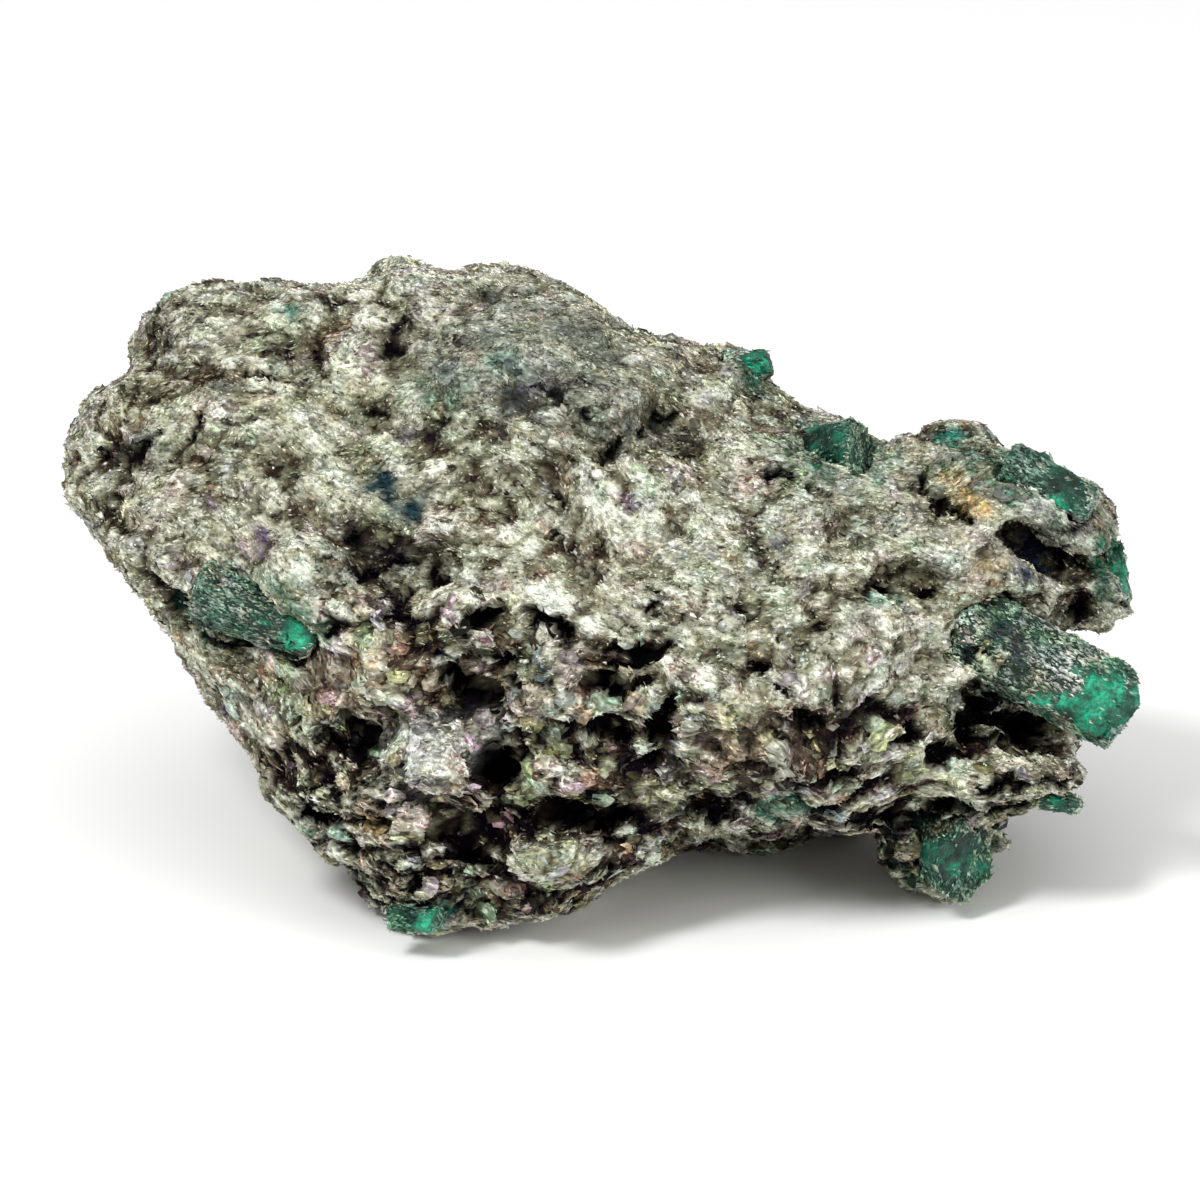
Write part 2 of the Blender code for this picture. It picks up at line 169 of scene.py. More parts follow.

# Coloured ground on the display side, and black or darkened painted shade in some hollows, slots and a
# notch: name, across, up, half width, half height, colour, strength
ZONES = (
    ("teal spot", -31.0, 29.0, 1.9, 1.2, TEAL, 0.6),
    ("blue spot 1", -21.4, 10.9, 2.3, 1.3, BLUE_GREEN, 0.9),
    ("blue spot 2", -18.6, 9.0, 2.4, 1.7, BLUE_GREEN, 0.9),
    # Black painted shade in the dark hollow of the left
    ("dark hollow 1", -19.8, 3.4, 4.6, 2.3, PAINTED_SHADE_BLACK, 0.85),
    ("dark hollow 2", -24.0, 5.8, 2.2, 1.5, PAINTED_SHADE_BLACK, 0.7),
    ("upper green", -15.9, 20.3, 3.2, 2.6, GREY_GREEN * (0.7, 1.0, 0.8), 0.65),
    ("upper ink", -14.8, 22.9, 1.5, 1.5, INK * 2.0, 0.55),
    ("left grey green", -36.9, 20.9, 1.7, 1.3, GREY_GREEN, 0.6),
    ("left violet", -33.4, 5.7, 1.4, 1.6, VIOLET * 2.5, 0.5),
    ("upper violet", -18.6, 15.6, 1.3, 0.7, VIOLET, 0.6),
    # Black painted shade in hollows of the upper left
    ("upper dark", -21.2, 25.2, 2.2, 1.5, PAINTED_SHADE_BLACK, 0.5),
    ("left dark", -45.0, 15.0, 2.2, 1.6, PAINTED_SHADE_BLACK, 0.5),
    ("grey boss", -5.0, 24.5, 11.0, 8.8, GREY_GREEN, 0.5),
    # Darkened grey green: painted shade in the notch at the foot of the grey boss
    ("dark notch", 4.0, 16.4, 4.4, 2.4, GREY_GREEN * 0.45, 0.6),
    ("tan pocket 1", 34.6, 11.2, 1.5, 1.6, TAN, 0.95),
    ("tan pocket 2", 36.8, 9.2, 1.7, 1.4, TAN, 0.9),
    ("tan seam", 38.4, 3.9, 2.2, 0.9, TAN, 0.55),
    ("shoulder", 24.0, 15.0, 5.6, 4.4, DEEP_GREEN, 0.6),
    ("crest", 16.0, 22.8, 3.4, 3.0, DEEP_GREEN, 0.65),
    ("lobe top", 41.5, 13.4, 9.5, 2.8, DEEP_GREEN, 0.5),
    ("lobe cap", 34.8, 15.9, 1.6, 0.9, TEAL * 1.3, 0.8),
    ("lobe middle", 40.5, 10.5, 3.4, 1.6, DEEP_GREEN * 1.6, 0.3),
    ("lobe flank", 45.5, 11.5, 6.0, 4.0, DEEP_GREEN, 0.25),
    ("lobe edge", 51.0, 4.0, 2.6, 4.4, DEEP_GREEN, 0.7),
    ("end sheath", 42.0, -6.0, 5.2, 4.2, DEEP_GREEN, 0.2),
    ("sheath blue", 41.0, -5.7, 1.5, 1.5, INK, 0.9),
    ("sheath ink", 47.9, -5.0, 1.1, 0.9, INK * 2.0, 0.5),
    ("sheath slab", 46.4, -6.4, 1.8, 2.1, WHITE_MICA, 0.55),
    ("end rim", 50.6, -7.0, 2.2, 1.1, DEEP_GREEN * 2.0, 0.5),
    ("sheath edge", 38.5, -3.2, 1.6, 1.0, INK, 0.6),
    ("foot knob", 35.0, -25.4, 5.6, 4.4, DEEP_GREEN, 0.45),
    ("left toe", -17.4, -31.2, 3.4, 1.4, TEAL, 0.6),
    ("left flank", -32.6, -20.6, 1.6, 1.4, BLUE_GREEN, 0.7),
    ("lower flank", -28.8, -23.2, 1.9, 1.3, TEAL, 0.35),
    ("left blue", -35.4, -9.6, 1.9, 0.8, BLUE_GREEN, 0.5),
    ("boss violet", -6.3, 20.6, 1.7, 1.3, VIOLET, 0.8),
    ("middle violet", 17.5, 5.8, 1.1, 0.9, VIOLET, 0.5),
    ("boss green", -9.6, 23.4, 1.6, 2.0, TEAL, 0.3),
    ("side lens", -33.5, -1.0, 6.8, 3.8, DEEP_GREEN, 0.5),
    # Black painted shadow in the hollow under the end emerald and in the slot under the arch
    ("end hollow", 39.6, -10.6, 4.4, 2.9, PAINTED_SHADE_BLACK, 0.8),
    ("arch slot", 44.4, 7.0, 4.0, 2.0, PAINTED_SHADE_BLACK, 0.85),
    ("under teal", 18.0, -20.2, 2.4, 1.4, TEAL, 0.6),
    ("pale block", -16.6, -14.6, 3.8, 3.4, WHITE_MICA, 0.7),
    ("diamond", -2.9, -6.2, 1.3, 2.0, ROSE, 0.75),
    ("rose patch", -6.0, -10.0, 1.9, 1.5, ROSE, 0.45),
    ("yellow lump", 13.6, -10.4, 2.0, 1.7, LEMON, 0.6),
    ("yellow rim", 11.0, -23.4, 2.2, 0.7, LEMON, 0.6),
    ("olive ledge", 32.8, -22.9, 2.6, 0.8, LEMON * 0.6, 0.7),
    ("round clump", -11.1, -12.1, 1.8, 1.6, WHITE_MICA, 0.45),
    ("cream clump", 5.6, -19.2, 2.0, 1.4, LEMON * 1.1, 0.5),
    ("olive slab", -5.0, -25.2, 3.4, 1.5, LEMON * 0.7, 0.55),
    ("rust 1", -2.4, -8.6, 1.6, 0.4, RUST, 0.6),
    ("rust 2", -9.4, -28.6, 1.8, 0.5, RUST, 0.35),
    ("rust 3", 12.4, -16.6, 1.4, 0.6, RUST, 0.5),
    ("warm front", 14.0, -14.5, 6.0, 3.4, PEACH, 0.22),
    ("warm left", -23.5, -7.5, 4.6, 3.6, PEACH, 0.25),
    ("green seam", 28.2, -0.4, 2.4, 0.7, TEAL, 0.6),
    ("blue patch", 24.5, -2.7, 2.0, 1.0, BLUE_GREEN, 0.6),
    ("blue lobe patch", 42.0, 4.2, 2.4, 2.4, INK * 1.6, 0.65),
)

# Caves, pits and cracks of the display side, sunk and darkened with painted shade: across, up, half width,
# half height, turn, depth
HOLLOWS = (
    # Upper left
    (-39.6, 16.8, 0.6, 1.0, 10, 0.5), (-45.0, 14.6, 1.2, 0.6, 30, 0.6), (-43.6, 16.4, 0.6, 0.6, 0, 0.5),
    (-33.3, 22.3, 2.8, 0.4, 8, 0.5), (-33.8, 18.3, 0.5, 0.5, 0, 0.4), (-20.8, 25.0, 1.4, 0.5, 10, 0.5),
    (-19.2, 27.8, 0.5, 0.6, 0, 0.5), (-21.6, 18.3, 1.0, 0.4, 0, 0.5), (-47.6, 9.5, 1.0, 0.4, 10, 0.5),
    # Dark hollow of the left
    (-19.4, 3.0, 1.7, 0.6, 5, 0.9), (-15.8, 2.2, 1.0, 0.7, 0, 0.8), (-23.1, 6.2, 1.2, 0.7, -30, 0.8),
    (-25.8, 3.4, 1.0, 0.6, 0, 0.7), (-21.8, 1.8, 1.1, 0.4, 0, 0.7),
    # Foot of the grey boss
    (-6.5, 20.9, 0.9, 0.7, 0, 0.9), (-4.3, 19.2, 1.4, 0.7, -20, 0.9), (-1.3, 17.7, 1.3, 0.5, -15, 0.7),
    (6.3, 17.8, 1.3, 0.7, 0, 1.2), (0.9, 15.2, 1.3, 0.7, 35, 1.2), (4.4, 15.8, 0.9, 1.0, 0, 1.1),
    # Middle
    (-4.1, 6.7, 1.2, 0.5, -15, 0.9), (-4.6, 10.2, 0.4, 1.6, 40, 0.7), (13.2, -0.4, 1.1, 0.3, -25, 0.8),
    (14.9, -1.8, 0.35, 1.0, 15, 0.9), (5.4, -0.7, 0.6, 1.2, -20, 1.0), (18.0, -8.7, 1.9, 0.5, -35, 1.0),
    (20.6, -1.9, 0.4, 1.0, 20, 0.8), (26.6, 1.0, 1.3, 0.6, -20, 1.0), (31.2, 0.9, 1.1, 0.4, -5, 0.9),
    # Under the shoulder and around the shell
    (17.8, 12.2, 2.0, 0.8, -25, 1.3), (21.2, 10.4, 2.2, 0.6, -28, 1.2), (31.5, 11.9, 0.5, 1.5, 0, 1.3),
    (32.6, 9.7, 0.7, 1.2, 25, 1.2), (34.8, 8.3, 1.7, 0.5, -38, 1.1), (47.6, -1.6, 1.9, 1.3, -20, 1.3),
    (36.4, -4.8, 1.3, 1.0, 0, 1.3),
    # Lower front, from the left
    (-23.0, -12.0, 1.8, 0.8, -5, 1.8), (-24.7, -14.0, 3.6, 0.8, -12, 1.7), (-11.2, -0.9, 2.1, 1.0, 0, 1.5),
    (-4.8, -2.2, 2.4, 1.0, -20, 1.5), (-8.8, -5.3, 1.9, 1.0, 0, 1.4), (4.0, -5.0, 3.4, 1.0, 8, 1.4),
    (1.1, -8.0, 4.6, 0.7, 3, 1.5), (-12.6, -8.8, 3.4, 1.4, -38, 2.0), (-10.7, -16.0, 2.2, 1.9, -40, 2.0),
    (-3.0, -20.9, 5.8, 1.1, -6, 2.0), (-13.2, -24.4, 3.3, 0.9, -4, 1.7), (-10.0, -26.2, 2.0, 1.0, -35, 1.6),
    (-17.7, -27.6, 1.2, 1.2, 0, 1.4), (6.2, -12.8, 1.0, 3.4, -8, 1.6), (1.1, -12.9, 3.2, 0.9, -12, 1.7),
    (11.3, -20.6, 3.3, 0.8, 2, 1.6), (14.5, -6.4, 0.8, 1.2, 30, 1.1), (20.5, -11.6, 1.6, 0.7, -30, 1.2),
    (15.5, -16.8, 2.2, 0.5, -5, 1.1), (22.5, -17.2, 2.6, 0.6, 2, 1.2),
    # Lower left edge
    (-38.5, -2.6, 1.8, 0.6, -28, 1.2), (-35.2, -4.2, 2.0, 0.7, -22, 1.3), (-31.3, -5.4, 2.0, 0.8, -15, 1.4),
    (-26.3, -3.3, 0.9, 0.8, 40, 1.1), (-28.7, -11.3, 0.6, 1.0, 0, 1.1), (-26.5, -21.6, 3.0, 0.6, -12, 1.3),
    (-21.7, -21.8, 1.0, 0.5, 0, 1.0), (-24.6, -24.7, 0.5, 1.1, 0, 1.0), (-26.0, -18.3, 1.4, 0.4, -5, 0.9),
    # Ledges under the end emerald
    (36.6, -11.2, 1.6, 3.4, 0, 1.8), (40.6, -12.8, 3.2, 2.0, -20, 1.8), (29.4, -13.8, 2.4, 0.9, 22, 1.3),
    (33.2, -15.2, 1.4, 1.3, 30, 1.4), (39.6, -18.1, 3.0, 0.8, -4, 1.5), (44.4, -18.0, 1.9, 0.6, -8, 1.3),
    (40.2, -20.3, 2.2, 0.7, 0, 1.3), (33.2, -20.9, 4.0, 1.0, 6, 1.6), (40.4, -23.4, 0.8, 2.2, 0, 1.4),
    (26.5, -21.8, 2.2, 0.9, 5, 1.3),
)

# Stretches of the display side painted paler, as painted light where the lamps leave them dimmer: across,
# up, half width, half height and how much paler
PAINTED_LIGHT_STRETCHES = (
    (6.0, 4.0, 30.0, 13.0, 0.12),
    (30.0, -4.0, 9.0, 8.0, 0.13),
    (45.0, -6.5, 4.5, 3.2, 0.14),
    (43.0, 9.0, 9.0, 6.5, 0.10),
    (-27.0, -14.0, 13.0, 12.0, 0.15),
)

# Pale clumps of mica on the display side: name, across, up, half width, half height, height
CLUMPS = (
    ("speckled block", -16.3, -14.8, 3.2, 2.8, 1.1),
    ("round clump", -11.1, -12.1, 2.2, 1.8, 1.1),
    ("diamond", -2.9, -6.2, 1.5, 1.9, 0.8),
    ("coin 1", 8.7, -12.2, 1.2, 1.0, 0.6),
    ("yellow lump", 13.7, -10.8, 2.4, 1.7, 0.8),
    ("coin 2", 17.4, -14.5, 1.7, 1.0, 0.6),
    ("clump 1", 5.6, -19.2, 2.8, 1.7, 1.0),
    ("clump 2", -4.6, -17.4, 3.2, 2.1, 0.9),
    ("clump 3", -4.0, -10.7, 2.1, 1.7, 0.8),
    ("clump 4", 3.7, -10.2, 2.1, 1.2, 0.7),
    ("slab", -5.0, -25.5, 4.0, 2.0, 0.9),
    ("clump 5", -12.3, -21.5, 1.8, 1.4, 0.8),
    ("clump 6", -18.9, -21.2, 3.0, 2.5, 0.9),
    ("clump 7", -22.5, -6.2, 3.3, 3.2, 0.7),
    ("clump 8", -15.2, -26.6, 1.6, 1.4, 0.7),
    ("rim", 4.0, -24.6, 5.2, 1.6, 0.5),
    ("upper ridge", -39.5, 23.9, 9.0, 0.5, 0.5),
    ("sheath slab", 46.0, -6.2, 3.2, 1.2, 0.4),
    ("hollow clump", 39.0, -14.3, 1.6, 0.9, 0.9),
    ("shell", 33.0, 11.2, 1.1, 1.2, 0.7),
)

# Large flakes of the display side: name, across, up, half length, half width, turn, colour
LARGE_FLAKES = (
    ("shell eye", 32.9, 12.6, 0.8, 0.7, 0, (0.50, 0.52, 0.42)),
    ("shell disc", 33.0, 10.9, 1.1, 0.9, 10, (0.30, 0.32, 0.24)),
    ("coin 1", 8.7, -12.2, 1.1, 0.9, 0, (0.62, 0.64, 0.52)),
    ("coin 2", 17.4, -14.5, 1.4, 0.9, -10, (0.66, 0.67, 0.54)),
    ("slab strip", 46.1, -5.9, 2.4, 0.6, -47, (0.62, 0.62, 0.56)),
    ("white plate", -0.4, 12.2, 0.9, 0.6, -30, (0.85, 0.86, 0.78)),
    ("thin plate", 3.7, -9.7, 1.6, 0.6, 15, (0.44, 0.38, 0.31)),
    ("yellow plate", 13.7, -10.2, 1.0, 0.8, -40, (0.60, 0.60, 0.44)),
    ("grey plate", -2.9, -5.6, 0.9, 0.7, 80, (0.42, 0.38, 0.36)),
)

# Flat breaks of the emeralds: across, up and the way they face, in degrees
BREAKS = {
    "end_emerald": ((51.9, -11.5, -38), (50.2, -15.2, -75)),
}

# Bare spots of the emeralds: across, up, half width, half height, turn and how bright they are
WINDOWS = {
    "end_emerald": (49.5, -9.9, 4.9, 2.6, 8, 0.95),
    "foot_emerald": (35.3, -25.2, 2.2, 2.2, 0, 0.35),
    "shoulder_emerald": (21.9, 16.2, 2.1, 2.1, 0, 0.15),
    "crest_emerald": (15.4, 23.8, 2.4, 2.4, 0, 0.7),
    "lobe_emerald": (45.4, 11.4, 2.4, 2.4, 0, 0.15),
    "edge_emerald": (51.4, 2.0, 3.0, 3.0, 0, 0.45),
    "side_emerald": (-29.0, -3.0, 2.6, 2.6, 0, 0.65),
    "ledge_emerald": (45.0, -20.6, 2.4, 2.4, 0, 0.45),
    "toe_emerald": (-16.4, -31.7, 1.5, 1.5, 0, 0.35),
}


def hashed(cells, seed):
    """A number from 0 to 1 for each whole-numbered place, the same each time for a seed."""
    x, y, z = (cells[..., axis].astype(np.int64) for axis in range(3))
    mixed = (x * 73856093) ^ (y * 19349663) ^ (z * 83492791) ^ (seed * 2654435761)
    for shift, factor in ((15, 2246822519), (13, 3266489917)):
        mixed &= 0xFFFFFFFF
        mixed = (mixed ^ (mixed >> shift)) * factor
    mixed &= 0xFFFFFFFF
    return (mixed ^ (mixed >> 16)) / 4294967296.0


def hills(places, seed):
    """Smooth noise from -1 to 1, with hills about one unit across."""
    low = np.floor(places).astype(np.int64)
    part = places - low
    ease = part * part * (3 - 2 * part)
    total = np.zeros(len(places))
    for step in itertools.product((0, 1), repeat=3):
        weight = np.prod(np.where(step, ease, 1 - ease), axis=1)
        total += weight * hashed(low + step, seed)
    return 2 * total - 1


def chips(places, seed):
    """For cells one unit across: a number from 0 to 1 for each, and how far inside it lies."""
    low = np.floor(places).astype(np.int64)
    nearest = np.full(len(places), 9.0)
    second = np.full(len(places), 9.0)
    value = np.zeros(len(places))
    for step in itertools.product((-1, 0, 1), repeat=3):
        cell = low + step
        centre = cell + np.stack([hashed(cell, seed + axis) for axis in (1, 2, 3)], axis=1)
        distance = np.linalg.norm(places - centre, axis=1)
        nearer = distance < nearest
        second = np.where(nearer, nearest, np.minimum(second, distance))
        value = np.where(nearer, hashed(cell, seed), value)
        nearest = np.where(nearer, distance, nearest)
    return value, np.clip((second - nearest) / 0.25, 0, 1)


def normalised(vectors):
    return vectors / np.maximum(np.linalg.norm(vectors, axis=1, keepdims=True), 1e-9)


def layer_height(places):
    """Height of each place through the folded stack of mica layers, in millimetres."""
    height = places @ LAYER_NORMAL
    for seed, (size, fold) in enumerate(LAYER_FOLDS):
        height = height + fold * hills(places / size, 11 + seed)
    for across, up, reach, fall in LAYER_TURNS:
        beside = places[:, 0] - across
        height = height + fall * beside * np.exp(-(beside ** 2 + (places[:, 2] - up) ** 2) / reach ** 2)
    return height


def layer_normals(places):
    """The way the folded mica layers face at each place."""
    step = 0.3
    here = layer_height(places)
    return normalised(np.stack([layer_height(places + step * way) - here for way in np.eye(3)], axis=1))


def in_layers(places, length, thickness):
    """The places measured in chips of a length along the layers and a thickness across them."""
    along = places - np.outer(places @ LAYER_NORMAL, LAYER_NORMAL)
    return along / length + np.outer(layer_height(places) / thickness, LAYER_NORMAL)


def bent(places):
    """The places shifted to and fro, so that a spot drawn on them gets a ragged outline."""
    shift = [hills(places / 3.1, seed) + 0.5 * hills(places / 1.3, seed + 3) for seed in (181, 182, 183)]
    return places + 1.1 * np.stack(shift, axis=1)


def apart(places, across, up, half_width, half_height, turn=0):
    """Distance from the middle of a spot of the display side, 1 on its rim, its width turned by degrees."""
    beside, above = places[:, 0] - across, places[:, 2] - up
    cosine, sine = math.cos(math.radians(turn)), math.sin(math.radians(turn))
    return np.hypot(
        (beside * cosine + above * sine) / half_width,
        (above * cosine - beside * sine) / half_height)


def mask(places, *spot):
    """1 inside a spot of the display side, easing to 0 outside it."""
    return np.exp(-(apart(places, *spot) ** 4))


def frayed_hollows(places):
    """The same for each hollow of the display side in turn, with sharp and ragged rims."""
    bends = bent(places)
    fray = 0.30 * hills(places / 0.8, 184) + 0.45 * hills(in_layers(places, 2.0, 0.8), 185)
    for *spot, _ in HOLLOWS:
        yield np.clip(3.0 * (1.1 - apart(bends, *spot) + fray), 0, 1)


def books(places):
    """For the books of mica: a number from 0 to 1 for each, and how far inside it each place lies."""
    return chips(in_layers(places, BOOK_LENGTH, BOOK_THICKNESS), 21)


def mixed(value, factor):
    """Another number from 0 to 1 made from such a number."""
    return value * factor % 1


def to_display(points):
    """Metres in the row frame to millimetres in the display frame."""
    return (points - np.array(CENTRE)) @ DISPLAY_TURN / MM


def from_display(places):
    """Millimetres in the display frame to metres in the row frame."""
    return places @ DISPLAY_TURN.T * MM + np.array(CENTRE)


def link(obj):
    bpy.context.scene.collection.objects.link(obj)
    return obj


def add_modifier(obj, name, kind, **values):
    modifier = obj.modifiers.new(name, kind)
    for key, value in values.items():
        setattr(modifier, key, value)


def apply_modifiers(obj):
    bpy.context.view_layer.update()
    graph = bpy.context.evaluated_depsgraph_get()
    mesh = bpy.data.meshes.new_from_object(obj.evaluated_get(graph))
    obj.modifiers.clear()
    obj.data = mesh


def skin_of(node, name, voxel):
    """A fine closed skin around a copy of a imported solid."""
    piece = link(bpy.data.objects.new(name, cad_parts[node].data.copy()))
    bm = bmesh.new()
    bm.from_mesh(piece.data)
    bmesh.ops.remove_doubles(bm, verts=bm.verts, dist=0.002 * MM)
    bm.to_mesh(piece.data)
    bm.free()
    add_modifier(piece, "Skin", "REMESH", mode="VOXEL", voxel_size=voxel * MM)
    apply_modifiers(piece)
    return piece


def read(mesh, items, key, width, kind=np.float64):
    values = np.empty(len(items) * width, kind)
    items.foreach_get(key, values)
    return values.reshape(-1, width) if width > 1 else values


class Surface:
    """A mesh's points, normals and triangles as arrays, in the display frame."""

    def __init__(self, obj):
        mesh = obj.data
        mesh.calc_loop_triangles()
        self.obj = obj
        self.places = to_display(read(mesh, mesh.vertices, "co", 3))
        self.edges = read(mesh, mesh.edges, "vertices", 2, np.int32)
        self.triangles = read(mesh, mesh.loop_triangles, "vertices", 3, np.int32)
        self.update_normals()

    def update_normals(self):
        corners = self.places[self.triangles]
        across = np.cross(corners[:, 1] - corners[:, 0], corners[:, 2] - corners[:, 0])
        self.areas = 0.5 * np.linalg.norm(across, axis=1)
        sums = [
            np.bincount(self.triangles.ravel(), np.repeat(across[:, axis], 3), len(self.places))
            for axis in range(3)
        ]
        self.normals = normalised(np.stack(sums, axis=1))

    def relaxed(self, values, rounds):
        """Values averaged with their neighbours', a number of times."""
        first, second = self.edges.T
        total = len(self.places)
        count = np.bincount(self.edges.ravel(), minlength=total)
        for _ in range(rounds):
            values = np.stack([
                (np.bincount(first, column[second], total)
                 + np.bincount(second, column[first], total)) / count
                for column in values.T
            ], axis=1)
        return values

    def move(self, offsets):
        self.places = self.places + self.normals * offsets[:, None]
        self.update_normals()

    def write_back(self):
        points = from_display(self.places)
        points[:, 2] = np.maximum(points[:, 2], 0)
        self.obj.data.vertices.foreach_set("co", points.astype(np.float32).ravel())
        self.obj.data.update()


def set_tint(mesh, colours):
    """Stores a colour for each point of the mesh."""
    tint = mesh.attributes.new("tint", "FLOAT_COLOR", "POINT")
    values = np.concatenate([colours, np.ones((len(colours), 1))], axis=1)
    tint.data.foreach_set("color", values.astype(np.float32).ravel())


def set_layer(mesh, places):
    """Stores for each point of the mesh how high it lies in the stack of mica layers."""
    layer = mesh.attributes.new("layer", "FLOAT", "POINT")
    layer.data.foreach_set("value", layer_height(places).astype(np.float32))


def low_front(places, normals):
    """1 on the steep lower part of the display side, where blocks stand apart, and 0 elsewhere."""
    front = np.clip(-normals[:, 1] * 1.6, 0, 1)
    line = np.interp(places[:, 0], LOW_ACROSS, LOW_UP)
    edge = np.clip((line - places[:, 2] + 2.0 * hills(places / 6, 171)) / 3.0, 0, 1)
    left = np.clip((places[:, 0] + 34) / 10, 0.3, 1)
    return front * edge * left * np.clip((36.0 - places[:, 0]) / 8.0, 0.2, 1)


def block_gaps(places, normals):
    """How far each place lies in a gap between blocks, from 0 to 1."""
    _, inside = chips(in_layers(places, BLOCK_LENGTH, BLOCK_THICKNESS), 191)
    _, small_inside = chips(in_layers(places, 3.4, 2.0), 201)
    low = low_front(places, normals)
    open_gap = np.clip(0.1 + 0.9 * low + 0.9 * hills(places / 8.0, 211), 0, 0.35 + 0.65 * low)
    open_small = np.clip(-0.15 + 0.8 * low + 0.8 * hills(places / 5.0, 221), 0, 0.30 + 0.70 * low)
    return np.maximum((1 - inside) * open_gap, 0.7 * (1 - small_inside) * open_small)


def ground_offsets(surface):
    """How far the rock's fine ground stands out or is sunk at each point, in millimetres."""
    places = surface.places
    front = np.clip(-surface.normals[:, 1] * 1.5, 0, 1)
    layers = layer_normals(places)
    broken_across = 1.0 - 0.7 * np.abs(np.sum(surface.normals * layers, axis=1))
    layer = np.floor(layer_height(places) / FINE_LAYER)
    stretch = np.stack([places[:, 0] / 4.5, places[:, 1] / 4.5, layer * 3.7], axis=1)
    book, inside = books(places)
    offsets = LUMP_HEIGHT * hills(places / LUMP_SIZE, 31)
    offsets += LEDGE_HEIGHT * broken_across * hills(stretch, 41)
    offsets += BOOK_HEIGHT * ((2 * book - 1) * inside - 0.6 * (1 - inside))
    offsets += GRAIN_HEIGHT * hills(places / GRAIN_SIZE, 61)
    offsets -= GAP_DEPTH * block_gaps(places, surface.normals)
    spots = bent(places)
    for _, across, up, half_width, half_height, height in CLUMPS:
        offsets += height * front * mask(spots, across, up, half_width, half_height)
    for hole, (*_, depth) in zip(frayed_hollows(places), HOLLOWS):
        offsets -= depth * front * hole
    return offsets


def hollowness(surface):
    """From 0 on open ground to 1 deep in a hollow, and below 0 on ridges."""
    smooth = surface.relaxed(surface.places, SMOOTHING_ROUNDS)
    return np.sum((smooth - surface.places) * surface.normals, axis=1)


def ground_level(places, normals, hollow):
    """How pale the ground is, from 0 for the darkest to 1 for the palest, with painted shade in hollows,
    seams and gaps and painted light on ridges and dim stretches.
    """
    low = low_front(places, normals)
    front = np.clip(-normals[:, 1] * 1.5, 0, 1)
    book, inside = books(places)
    blotch = hills(in_layers(places, 2.6, 1.5), 81)
    fleck = hills(in_layers(places, 0.9, 0.40), 82)
    level = 0.752 + 0.10 * low + 0.09 * hills(places / 6.5, 71) + 0.10 * blotch + 0.19 * fleck
    band = layer_height(places) / 4.5
    stretch = np.stack([places[:, 0] / 22.0, places[:, 1] / 22.0, band], axis=1)
    level += (0.05 + 0.12 * (1 - front)) * hills(stretch, 85)
    # Painted shade in the sunk seams between books, deeper on the low front
    parted = (1 - inside) * np.clip(0.6 + hills(places / 4.0, 84), 0, 1)
    level += 0.20 * (2 * mixed(book, 7.3) - 1) - (0.28 + 0.60 * low) * parted
    # Painted light on stretches the lamps leave dimmer
    for *spot, amount in PAINTED_LIGHT_STRETCHES:
        level += amount * front * mask(places, *spot)
    # Painted shade in hollows and painted light on ridges, then painted shade in the gaps between blocks
    # and in the caves, pits and cracks
    level -= 0.40 * np.clip(hollow, -0.25, 1.3)
    level -= 0.95 * block_gaps(places, normals)
    for hole in frayed_hollows(places):
        level -= 1.0 * front * hole
    spots = bent(places)
    for _, across, up, half_width, half_height, _ in CLUMPS:
        level += 0.22 * front * mask(spots, across, up, 0.9 * half_width, 0.9 * half_height)
    return level


def ramp(level):
    """The colour of the ground or of a flake for each level of paleness."""
    level = np.clip(level, 0, 1)
    return np.stack([np.interp(level, RAMP_STOPS, RAMP[:, channel]) for channel in range(3)], axis=1)


def with_zones(colours, places, normals, rng):
    """Blends in the coloured spots of the display side, with ragged edges, and darkens its hollows with
    painted shade.
    """
    front = np.clip(-normals[:, 1] * 2.5, 0, 1)
    spots = bent(places)
    ragged = 1.0 + 0.8 * hills(places / 1.3, 91)
    vary = np.exp(rng.normal(0, 0.45, (len(places), 1)) + 0.5 * hills(places / 0.9, 92)[:, None])
    for _, across, up, half_width, half_height, colour, strength in ZONES:
        share = strength * front * mask(spots, across, up, half_width, half_height) * ragged
        share = np.clip(share, 0, 1)[:, None]
        colours = colours * (1 - share) + np.minimum(colour * vary, 0.9) * share
    # Painted shade in the caves, pits and cracks
    for hole in frayed_hollows(places):
        colours = colours * (1 - 0.85 * hole * front)[:, None]
    return colours


def near_crystals(places, reach):
    """True for each place within a reach of an emerald's solid, in millimetres."""
    near = np.zeros(len(places), bool)
    for name in EMERALDS:
        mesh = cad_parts[name].data
        points = to_display(read(mesh, mesh.vertices, "co", 3))
        faces = [list(face.vertices) for face in mesh.polygons]
        tree = BVHTree.FromPolygons(points.tolist(), faces)
        low, high = points.min(0) - reach, points.max(0) + reach
        for index in np.flatnonzero(np.all((places > low) & (places < high), axis=1)):
            found = tree.find_nearest(Vector(places[index]), reach)
            near[index] |= found[0] is not None
    return near


class Spots:
    """Random spots on a surface, denser where the weight of its points is higher."""

    def __init__(self, surface, weight, count, rng):
        chance = surface.areas * weight[surface.triangles].mean(axis=1)
        chosen = rng.choice(len(chance), count, p=chance / chance.sum())
        shares = rng.dirichlet((1, 1, 1), count)
        self.corners = surface.triangles[chosen]
        self.shares = shares[..., None]
        self.places = self.take(surface.places)
        self.normals = normalised(self.take(surface.normals))

    def take(self, values):
        values = values if values.ndim > 1 else values[:, None]
        return (values[self.corners] * self.shares).sum(axis=1)


